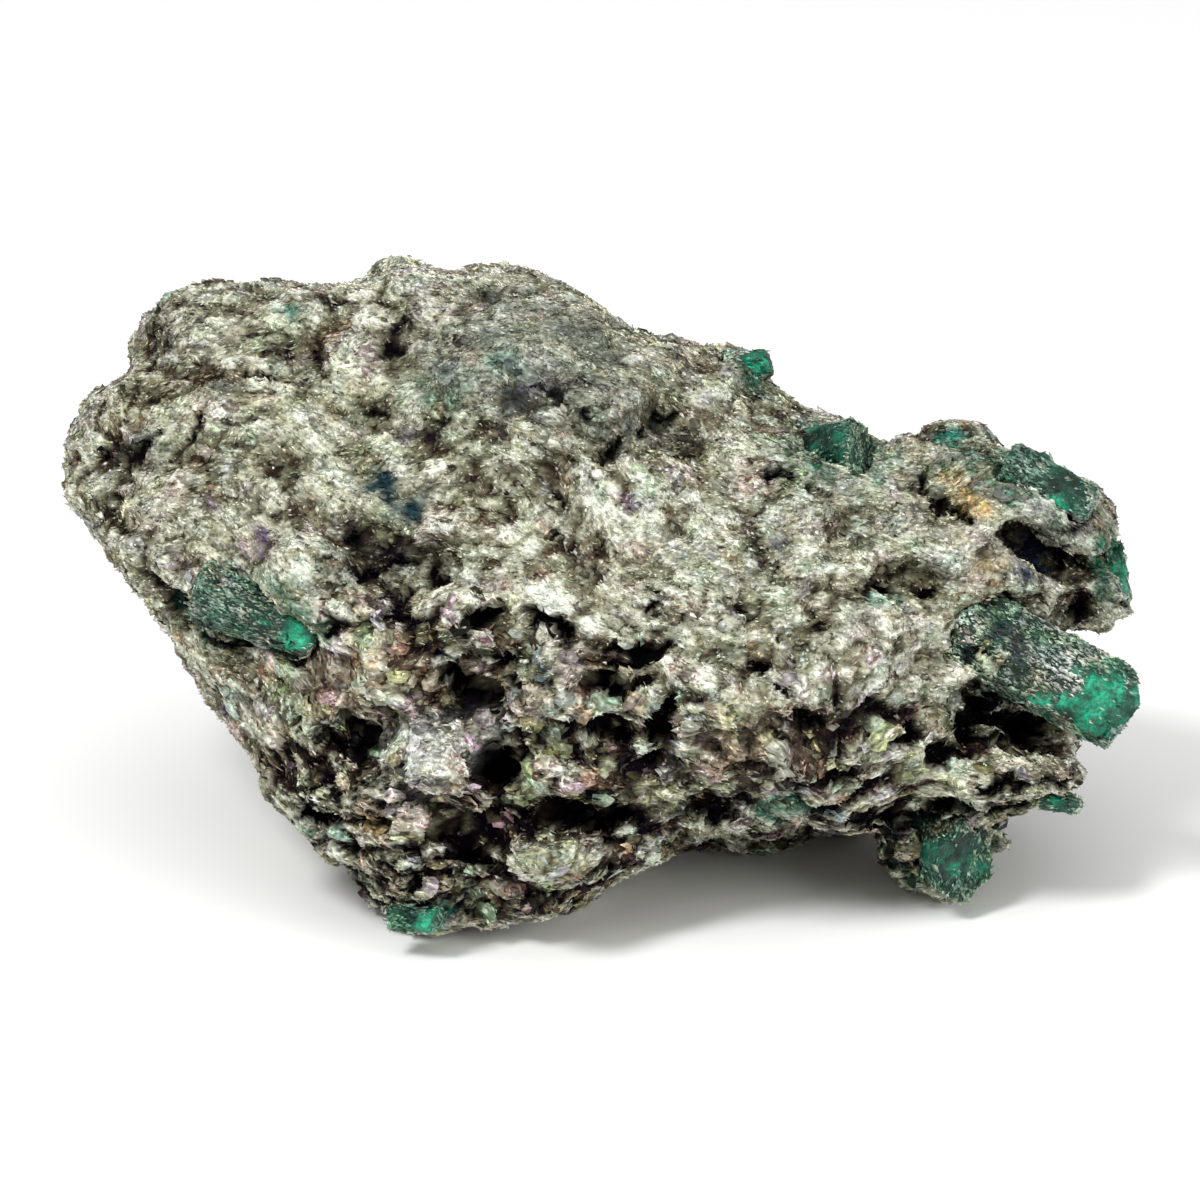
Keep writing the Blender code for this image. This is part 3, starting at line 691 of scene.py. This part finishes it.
def flake_mesh(name, corners, centres, normals, leads, lengths, widths, roots, colours, rng):
    """One mesh of many flakes, each a bent plate with this many corners over a root in the rock."""
    count = len(centres)
    turn = np.arange(corners) + rng.uniform(-0.3, 0.3, (count, corners)) * 4 / corners
    angle = turn * (2 * math.pi / corners)
    reach = rng.uniform(0.75, 1.15, (count, corners))
    along = np.cos(angle) * reach
    aside = np.sin(angle) * reach
    bend = rng.normal(0, 0.14, (count, 1)) * along ** 2 + rng.normal(0, 0.10, (count, 1)) * aside
    sides = np.cross(normals, leads)
    plate = (
        centres[:, None]
        + (along * lengths[:, None])[..., None] * leads[:, None]
        + (aside * widths[:, None])[..., None] * sides[:, None]
        + (bend * lengths[:, None])[..., None] * normals[:, None]
    )
    root = (centres - roots[:, None] * normals)[:, None]
    points = np.concatenate([plate, root], axis=1)
    above_floor = from_display(points.reshape(-1, 3))[:, 2].reshape(count, -1).min(axis=1) > 0
    points = points[above_floor].reshape(-1, 3)
    colours = colours[above_floor]
    count = len(colours)
    top = np.arange(corners)
    walls = np.stack([(top + 1) % corners, top, np.full(corners, corners)], axis=1)
    pattern = np.concatenate([top, walls.ravel()])
    sizes = [corners] + [3] * corners
    starts = (corners + 1) * np.arange(count)[:, None]
    loop_starts = np.cumsum([0] + sizes[:-1])
    mesh = bpy.data.meshes.new(name)
    mesh.vertices.add(len(points))
    mesh.vertices.foreach_set("co", from_display(points).astype(np.float32).ravel())
    mesh.loops.add(count * len(pattern))
    mesh.loops.foreach_set("vertex_index", (pattern + starts).ravel().astype(np.int32))
    mesh.polygons.add(count * len(sizes))
    first_loops = (loop_starts + len(pattern) * np.arange(count)[:, None]).ravel()
    mesh.polygons.foreach_set("loop_start", first_loops.astype(np.int32))
    mesh.update(calc_edges=True)
    set_tint(mesh, np.repeat(colours, corners + 1, axis=0))
    set_layer(mesh, points)
    return link(bpy.data.objects.new(name, mesh))


def flake_leads(facing, layers, rng, stray):
    """The long direction of each flake: along the trace of the layers, more or less astray."""
    trace = normalised(np.cross(layers, facing) + 0.02)
    lead = trace + stray[:, None] * rng.normal(0, 1, facing.shape)
    lead -= np.sum(lead * facing, axis=1, keepdims=True) * facing
    return normalised(lead)


def flake_colours(places, ground, sunk, rng, coat=False):
    """A colour for each flake: painted light on ridges, painted shade in hollows, here and there bronze,
    lilac or straw.

    Many of those that coat a crystal are green.
    """
    count = len(places)
    level = ground_level(places, ground, sunk) + rng.normal(0, 0.17, count)
    # A few flakes painted much paler, as painted glints
    level += np.where(rng.random(count) < PAINTED_GLINT_SHARE, 0.50, 0)
    colours = ramp(np.minimum(level, 0.93))
    low = low_front(places, ground)
    dim = 1.3 - np.clip(level, 0, 1) + 0.60 * low
    book, _ = books(places)
    warm = 1.3 * (mixed(book, 17.9) - 0.62) + 0.6 * hills(places / 2.2, 231) + rng.normal(0, 0.18, count)
    cool = 1.3 * (mixed(book, 31.7) - 0.72) + 0.6 * hills(places / 1.9, 241) + rng.normal(0, 0.12, count)
    straw = 1.4 * (mixed(book, 43.3) - 0.70) + 0.5 * hills(places / 2.6, 271) + rng.normal(0, 0.10, count)
    hues = [(warm, BRONZE), (cool, LILAC), (straw, LEMON)]
    if coat:
        hues = [(0.6 + 0.9 * hills(places / 1.7, 281), COAT_GREEN)]
    for share, tone in hues:
        share = np.clip(share * dim, 0, 0.70)[:, None]
        colours = colours * (1 - share) + tone * (0.15 + 1.5 * np.clip(level, 0, 1))[:, None] * share
    hue = np.stack([hills(places / 1.8, seed) for seed in (261, 262, 263)], axis=1)
    hue *= (0.13 + 0.18 * low)[:, None]
    return with_zones(colours * (1 + hue), places, ground, rng)


def long_way(places):
    """The direction in which some places reach furthest."""
    spread = places - places.mean(axis=0)
    return np.linalg.svd(spread.T @ spread)[0][:, 0]


def flake_facings(places, ground, layers, tilt, coins, rng):
    """The way each flake faces: partly as the ground does, as the layers do and as its book is tilted."""
    follow = np.clip(0.85 + 0.9 * hills(places / 6.0, 101), 0.25, 1.6)[:, None]
    waves = np.stack([hills(places / 1.5, seed) for seed in (111, 112, 113)], axis=1)
    facing = normalised(ground * follow + 0.9 * layers + 0.35 * waves + 0.75 * tilt)
    facing = normalised(facing + rng.normal(0, 0.15, facing.shape))
    lying = np.sum(facing * ground, axis=1)
    flattest = 0.70 - 0.25 * low_front(places, ground)
    facing = normalised(facing + ground * np.clip(flattest - lying, 0, 2)[:, None])
    facing = normalised(facing + (1.2 if coins else 0.0) * ground)
    loose = 2.0 * mask(places, *GRAINY_SPOT)[:, None]
    return normalised(facing + loose * (ground + rng.normal(0, 0.5, facing.shape)))


def mica_flakes(name, surface, weight, hollow, count, rng, coins=False, coat=False):
    """Flakes over part of a surface, laid partly along the ground and partly along the layers.

    Those that coat a crystal lie flat on it and run along it.
    """
    spots = Spots(surface, weight, count, rng)
    places, ground = spots.places, spots.normals
    sunk = spots.take(hollow)[:, 0]
    layers = layer_normals(places)
    layers *= np.sign(np.sum(layers * ground, axis=1) + 1e-6)[:, None]
    book, _ = books(places)
    tilt = 2 * np.stack([mixed(book, factor) for factor in (3.7, 11.3, 23.9)], axis=1) - 1
    facing = flake_facings(places, ground, layers, tilt, coins, rng)
    low = low_front(places, ground)
    hidden = np.clip(0.4 + 3 * ground[:, 1], 0, 1)
    size = np.exp(rng.normal(0, 0.42, count)) * (1.0 + 0.30 * low + 0.25 * hidden)
    if coins:
        corners = COIN_CORNERS
        lengths = np.clip(COIN_LENGTH * size, *COIN_LIMITS)
        widths = lengths * rng.uniform(0.6, 0.95, count)
    else:
        corners = SLIVER_CORNERS
        lengths = np.clip(SLIVER_LENGTH * size, *(COAT_LIMITS if coat else SLIVER_LIMITS))
        widths = lengths * rng.uniform(0.35, 0.95, count) * (0.6 if coat else 1.0)
    roots = rng.uniform(*ROOT_DEPTH, count)
    grainy = mask(places, *GRAINY_SPOT)
    stray = rng.uniform(0.1, 0.9, count) + 3 * grainy
    leads = flake_leads(facing, layers + 0.5 * tilt, rng, stray)
    if coat:
        facing = normalised(ground + rng.normal(0, 0.25, facing.shape))
        leads = long_way(surface.places) + rng.normal(0, 0.22, facing.shape)
        leads = normalised(leads - np.sum(leads * facing, axis=1, keepdims=True) * facing)
    lengths *= 1 - 0.45 * grainy
    rise = lengths * np.linalg.norm(np.cross(facing, ground), axis=1)
    centres = places + ground * (rng.uniform(-0.06, 0.14, count) - 0.35 * rise)[:, None]
    colours = flake_colours(places, ground, sunk, rng, coat)
    return flake_mesh(name, corners, centres, facing, leads, lengths, widths, roots, colours, rng)


def large_flakes(surface, rng):
    """The flakes that stand out one by one on the display side, each a book of shifted plates."""
    centres, normals, leads, sizes, colours = [], [], [], [], []
    for _, across, up, half_length, half_width, turn, colour in LARGE_FLAKES:
        near = np.hypot(surface.places[:, 0] - across, surface.places[:, 2] - up) < 0.7
        spot = np.flatnonzero(near)[np.argmin(surface.places[near, 1])]
        front = np.array((across, surface.places[spot, 1] + 0.05, up))
        base = normalised((surface.normals[spot] * 0.7 + (0, -1.0, 0.15))[None])[0]
        long_way = np.array((math.cos(math.radians(turn)), 0, math.sin(math.radians(turn))))
        for plate in range(PLATES_A_BOOK):
            facing = normalised((base + rng.normal(0, 0.20, 3))[None])[0]
            lead = long_way + rng.normal(0, 0.25, 3)
            lead -= facing * (lead @ facing)
            shift = rng.normal(0, 0.28, 3) * (half_length, 0.1, half_width)
            centres.append(front + shift + (0, -0.07 * plate, 0))
            normals.append(facing)
            leads.append(lead / np.linalg.norm(lead))
            sizes.append(np.array((half_length, half_width)) * rng.uniform(0.45, 0.85))
            colours.append(np.array(colour) * rng.uniform(0.65, 1.25))
    sizes = np.array(sizes)
    roots = np.full(len(sizes), LARGE_ROOT)
    return flake_mesh(
        "large_mica", COIN_CORNERS, np.array(centres), np.array(normals), np.array(leads),
        sizes[:, 0], sizes[:, 1], roots, np.array(colours), rng)


def new_material(name):
    """A material, its nodes and its links."""
    material = bpy.data.materials.new(name)
    material.use_nodes = True
    return material, material.node_tree.nodes, material.node_tree.links


def noise_node(nodes, links, coordinates, scale, detail=4.0, roughness=0.6):
    """Noise with this many spots a metre."""
    node = nodes.new("ShaderNodeTexNoise")
    node.inputs["Scale"].default_value = scale
    node.inputs["Detail"].default_value = detail
    node.inputs["Roughness"].default_value = roughness
    links.new(coordinates.outputs["Object"], node.inputs["Vector"])
    return node


def ranged(nodes, links, source, low, high):
    """A noise's usual values stretched to run from low to high."""
    node = nodes.new("ShaderNodeMapRange")
    node.inputs["From Min"].default_value = 0.3
    node.inputs["From Max"].default_value = 0.7
    node.inputs["To Min"].default_value = low
    node.inputs["To Max"].default_value = high
    links.new(source, node.inputs["Value"])
    return node.outputs["Result"]


def streaks(nodes, links, coordinates, along, across, detail=3.0):
    """Noise drawn out along the mica layers, for sizes along and across them in millimetres."""
    layer = nodes.new("ShaderNodeAttribute")
    layer.attribute_name = "layer"
    height = nodes.new("ShaderNodeCombineXYZ")
    links.new(layer.outputs["Fac"], height.inputs["Z"])
    stacked = nodes.new("ShaderNodeVectorMath")
    stacked.operation = "MULTIPLY"
    stacked.inputs[1].default_value = (0, 0, 1 / across)
    links.new(height.outputs["Vector"], stacked.inputs[0])
    drawn = nodes.new("ShaderNodeVectorMath")
    drawn.operation = "MULTIPLY_ADD"
    drawn.inputs[1].default_value = (1 / (along * MM), 1 / (along * MM), 0)
    links.new(coordinates.outputs["Object"], drawn.inputs[0])
    links.new(stacked.outputs["Vector"], drawn.inputs[2])
    noise = nodes.new("ShaderNodeTexNoise")
    noise.inputs["Scale"].default_value = 1.0
    noise.inputs["Detail"].default_value = detail
    links.new(drawn.outputs["Vector"], noise.inputs["Vector"])
    return noise.outputs["Fac"]


def scaled(nodes, links, colour, factor):
    """A colour made darker or paler by a factor."""
    node = nodes.new("ShaderNodeVectorMath")
    node.operation = "SCALE"
    links.new(colour, node.inputs[0])
    links.new(factor, node.inputs["Scale"])
    return node.outputs["Vector"]


def layered_material(name, vary, grain_vary, rough, bump, metallic, specular):
    """A surface tinted point by point, with fine streaks drawn out along the mica layers."""
    material, nodes, links = new_material(name)
    shader = nodes["Principled BSDF"]
    coordinates = nodes.new("ShaderNodeTexCoord")
    tint = nodes.new("ShaderNodeAttribute")
    tint.attribute_name = "tint"
    leaf = streaks(nodes, links, coordinates, 0.9, 0.30)
    colour = scaled(nodes, links, tint.outputs["Color"], ranged(nodes, links, leaf, *vary))
    grain = noise_node(nodes, links, coordinates, 2100)
    factor = ranged(nodes, links, grain.outputs["Fac"], *grain_vary)
    links.new(scaled(nodes, links, colour, factor), shader.inputs["Base Color"])
    wear = noise_node(nodes, links, coordinates, 800)
    links.new(ranged(nodes, links, wear.outputs["Fac"], *rough), shader.inputs["Roughness"])
    relief = nodes.new("ShaderNodeBump")
    relief.inputs["Strength"].default_value = bump[0]
    relief.inputs["Distance"].default_value = bump[1] * MM
    links.new(leaf, relief.inputs["Height"])
    links.new(relief.outputs["Normal"], shader.inputs["Normal"])
    shader.inputs["Metallic"].default_value = metallic
    shader.inputs["Specular IOR Level"].default_value = specular
    return material


def mica_material():
    """Flakes of mica: silvery and half glossy."""
    return layered_material("mica", (0.50, 1.40), (0.80, 1.20), (0.26, 0.55), (0.5, 0.15), 0.30, 0.25)


def schist_material():
    """The ground between the flakes: dull."""
    return layered_material("schist", (0.50, 1.30), (0.60, 1.30), (0.55, 0.85), (0.8, 0.30), 0.0, 0.03)


def emerald_material():
    """Broken beryl: glassy green, cloudy with fractures, deeper and paler from spot to spot."""
    material, nodes, links = new_material("emerald")
    shader = nodes["Principled BSDF"]
    coordinates = nodes.new("ShaderNodeTexCoord")
    tint = nodes.new("ShaderNodeAttribute")
    tint.attribute_name = "tint"
    cloud = noise_node(nodes, links, coordinates, 1300, 6.0, 0.7)
    factor = ranged(nodes, links, cloud.outputs["Fac"], 0.10, 1.9)
    fleck = noise_node(nodes, links, coordinates, 3200, 2.0, 0.5)
    colour = scaled(nodes, links, tint.outputs["Color"], factor)
    fleck_shade = ranged(nodes, links, fleck.outputs["Fac"], 0.6, 1.35)
    links.new(scaled(nodes, links, colour, fleck_shade), shader.inputs["Base Color"])
    wear = noise_node(nodes, links, coordinates, 1500)
    links.new(ranged(nodes, links, wear.outputs["Fac"], 0.12, 0.55), shader.inputs["Roughness"])
    relief = nodes.new("ShaderNodeBump")
    relief.inputs["Strength"].default_value = 0.8
    relief.inputs["Distance"].default_value = 0.30 * MM
    links.new(cloud.outputs["Fac"], relief.inputs["Height"])
    links.new(relief.outputs["Normal"], shader.inputs["Normal"])
    shader.inputs["Specular IOR Level"].default_value = 0.3
    shader.inputs["IOR"].default_value = 1.58
    shader.inputs["Transmission Weight"].default_value = 0.25
    return material


def make_rock(material):
    """The rock's fine ground, and how far each of its points lies in a hollow."""
    rock = skin_of("matrix", "rock", GROUND_VOXEL)
    surface = Surface(rock)
    surface.places = surface.relaxed(surface.places, 2)
    surface.update_normals()
    surface.move(ground_offsets(surface))
    surface.write_back()
    hollow = hollowness(surface)
    rng = np.random.default_rng(SEED)
    level = ground_level(surface.places, surface.normals, hollow + 0.30)
    colours = with_zones(ramp(level), surface.places, surface.normals, rng)
    set_tint(rock.data, colours)
    set_layer(rock.data, surface.places)
    rock.data.materials.clear()
    rock.data.materials.append(material)
    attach(rock, "root")
    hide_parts("matrix")
    return surface, hollow


def add_flakes(flakes, material):
    flakes.data.materials.append(material)
    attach(flakes, "root")


def make_flakes(surface, hollow, material):
    """Joined meshes of flakes, thickest on the display side."""
    places, normals = surface.places, surface.normals
    open_ground = np.where(near_crystals(places, CRYSTAL_CLEARANCE), 0.0, 1.0)
    open_ground *= np.clip(1.6 + normals[:, 2], 0.6, 1)
    open_ground *= np.clip(1.2 - 0.9 * np.clip(hollow, 0, 1.2), 0.12, 1.2)
    open_ground *= 1 - 0.8 * np.clip(block_gaps(places, normals), 0, 1)
    for hole in frayed_hollows(places):
        open_ground *= 1 - 0.7 * hole * (normals[:, 1] < 0)
    front = np.clip(-normals[:, 1] * 3 + 0.6, 0, 1) * (places[:, 2] < 40)
    upper = np.clip(places[:, 2] / 4.0 + 0.5, 0, 1)
    left = np.clip(0.5 - places[:, 0] / 6.0, 0, 1)
    regions = (
        ("upper_left_mica", front * upper * left),
        ("upper_right_mica", front * upper * (1 - left)),
        ("lower_mica", front * (1 - upper)),
        ("left_back_mica", (1 - front) * left),
        ("right_back_mica", (1 - front) * (1 - left)),
    )
    for order, (name, share) in enumerate(regions):
        rng = np.random.default_rng(SEED + 10 + order)
        add_flakes(mica_flakes(name, surface, share * open_ground, hollow, SLIVERS_A_PIECE, rng), material)
    rng = np.random.default_rng(SEED + 20)
    weight = open_ground * (0.15 + front) * (0.4 + low_front(places, normals))
    add_flakes(mica_flakes("coin_mica", surface, weight, hollow, COINS, rng, coins=True), material)
    add_flakes(large_flakes(surface, rng), material)


def window(name, places):
    """1 in the bare spot of an emerald, easing to 0 where mica coats it, and 1 far from that spot."""
    away = apart(bent(places), *WINDOWS[name][:-1])
    bare = np.clip(2.2 * (1.1 - away) + 0.7 * hills(places / 1.1, 161), 0, 1)
    return bare, np.clip(away - 1.3, 0, 1)


def shaped_crystal(name):
    """A crystal with stepped faces and flat breaks, each point's step and how far it lies on a break."""
    surface = Surface(skin_of(name, name.replace("_emerald", "_crystal"), CRYSTAL_VOXEL))
    step, inside = chips(surface.places / STEP_SIZE, 121)
    splinter, close = chips(surface.places / SPLINTER_SIZE, 131)
    offsets = STEP_HEIGHT * ((2 * step - 1) * inside - 0.4 * (1 - inside))
    offsets += SPLINTER_HEIGHT * ((2 * splinter - 1) * close)
    offsets += CRYSTAL_SWELL * hills(surface.places / 3.0, 141)
    surface.move(offsets)
    broken = np.zeros(len(surface.places))
    for across, up, turn in BREAKS.get(name, ()):
        outward = np.array((math.cos(math.radians(turn)), 0, math.sin(math.radians(turn))))
        beyond = np.clip((surface.places - (across, 0, up)) @ outward, 0, None)
        surface.places = surface.places - BREAK_SHARE * beyond[:, None] * outward
        broken = np.maximum(broken, np.clip(2 * beyond, 0, 1))
    surface.update_normals()
    surface.write_back()
    return surface, step, broken


def make_emerald(name, order, material, mica):
    """A crystal with a bright bare spot, and the flakes that coat the rest of it."""
    surface, step, broken = shaped_crystal(name)
    crystal, places = surface.obj, surface.places
    bare, far = window(name, places)
    bright = 0.10 + 0.56 * WINDOWS[name][-1] * bare
    bright += 0.50 * hills(places / 1.4, 151)
    bright += 0.4 * (step - 0.5)
    bright -= 0.30 * broken + 0.30 * far
    greens = np.array((DEEP_GREEN * 0.25, DEEP_GREEN, BRIGHT_GREEN, MINT))
    colours = [np.interp(bright, GREEN_STOPS, greens[:, channel]) for channel in range(3)]
    set_tint(crystal.data, np.stack(colours, axis=1))
    crystal.data.materials.clear()
    crystal.data.materials.append(material)
    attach(crystal, "root")
    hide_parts(name)
    rng = np.random.default_rng(SEED + 40 + order)
    count = int(surface.areas.sum() * COAT_FLAKES)
    patchy = np.clip(0.85 + 1.2 * hills(places / 1.8, 251) + 0.7 * far, 0.04, 1)
    coat = mica_flakes(
        name.replace("_emerald", "_coat"), surface, (1 - 0.93 * bare) * patchy,
        np.full(len(places), -0.1), count, rng, coat=True)
    add_flakes(coat, mica)


def studio():
    """A pale floor and soft light from the upper left."""
    bm = bmesh.new()
    bmesh.ops.create_grid(bm, x_segments=1, y_segments=1, size=2.0)
    mesh = bpy.data.meshes.new("floor")
    bm.to_mesh(mesh)
    bm.free()
    floor = link(bpy.data.objects.new("floor", mesh))
    material, nodes, _ = new_material("pale_floor")
    nodes["Principled BSDF"].inputs["Base Color"].default_value = (0.93, 0.93, 0.93, 1)
    nodes["Principled BSDF"].inputs["Roughness"].default_value = 0.9
    mesh.materials.append(material)
    world = bpy.data.worlds.new("studio")
    world.use_nodes = True
    world.node_tree.nodes["Background"].inputs["Color"].default_value = (1, 1, 1, 1)
    world.node_tree.nodes["Background"].inputs["Strength"].default_value = 0.38
    bpy.context.scene.world = world
    add_light("key", (-0.40, -0.50, 0.75), 0.26, 6.6)
    add_light("fill", (0.7, -0.5, 0.35), 0.6, 3.2)
    sun = bpy.data.lights.new("sky", "SUN")
    sun.angle = math.radians(60)
    sun.energy = 1.1
    link(bpy.data.objects.new("sky", sun)).rotation_euler = (math.radians(15), 0, 0)


def add_light(name, place, size, power):
    """A round lamp aimed at the middle of the display side."""
    light = bpy.data.lights.new(name, "AREA")
    light.shape = "DISK"
    light.size = size
    light.energy = power
    lamp = link(bpy.data.objects.new(name, light))
    lamp.location = place
    lamp.rotation_euler = (CENTRE - Vector(place)).to_track_quat("-Z", "Y").to_euler()


def photo_camera():
    """The camera of the photograph, square to the display side."""
    data = bpy.data.cameras.new("camera")
    data.lens = LENS
    data.sensor_width = SENSOR
    data.clip_start = 0.01
    camera = link(bpy.data.objects.new("camera", data))
    distance = LENS * FRAME_WIDTH * MM / SENSOR
    camera.location = DISPLAY @ Vector((0, -distance, 0))
    camera.rotation_euler = (math.pi / 2 - VIEW_LEAN, 0, 0)
    bpy.context.scene.camera = camera


photo_camera()
studio()
bpy.context.scene.view_settings.view_transform = "Standard"
mica = mica_material()
emerald = emerald_material()
rock_surface, rock_hollow = make_rock(schist_material())
make_flakes(rock_surface, rock_hollow, mica)
for emerald_order, emerald_name in enumerate(EMERALDS):
    make_emerald(emerald_name, emerald_order, emerald, mica)
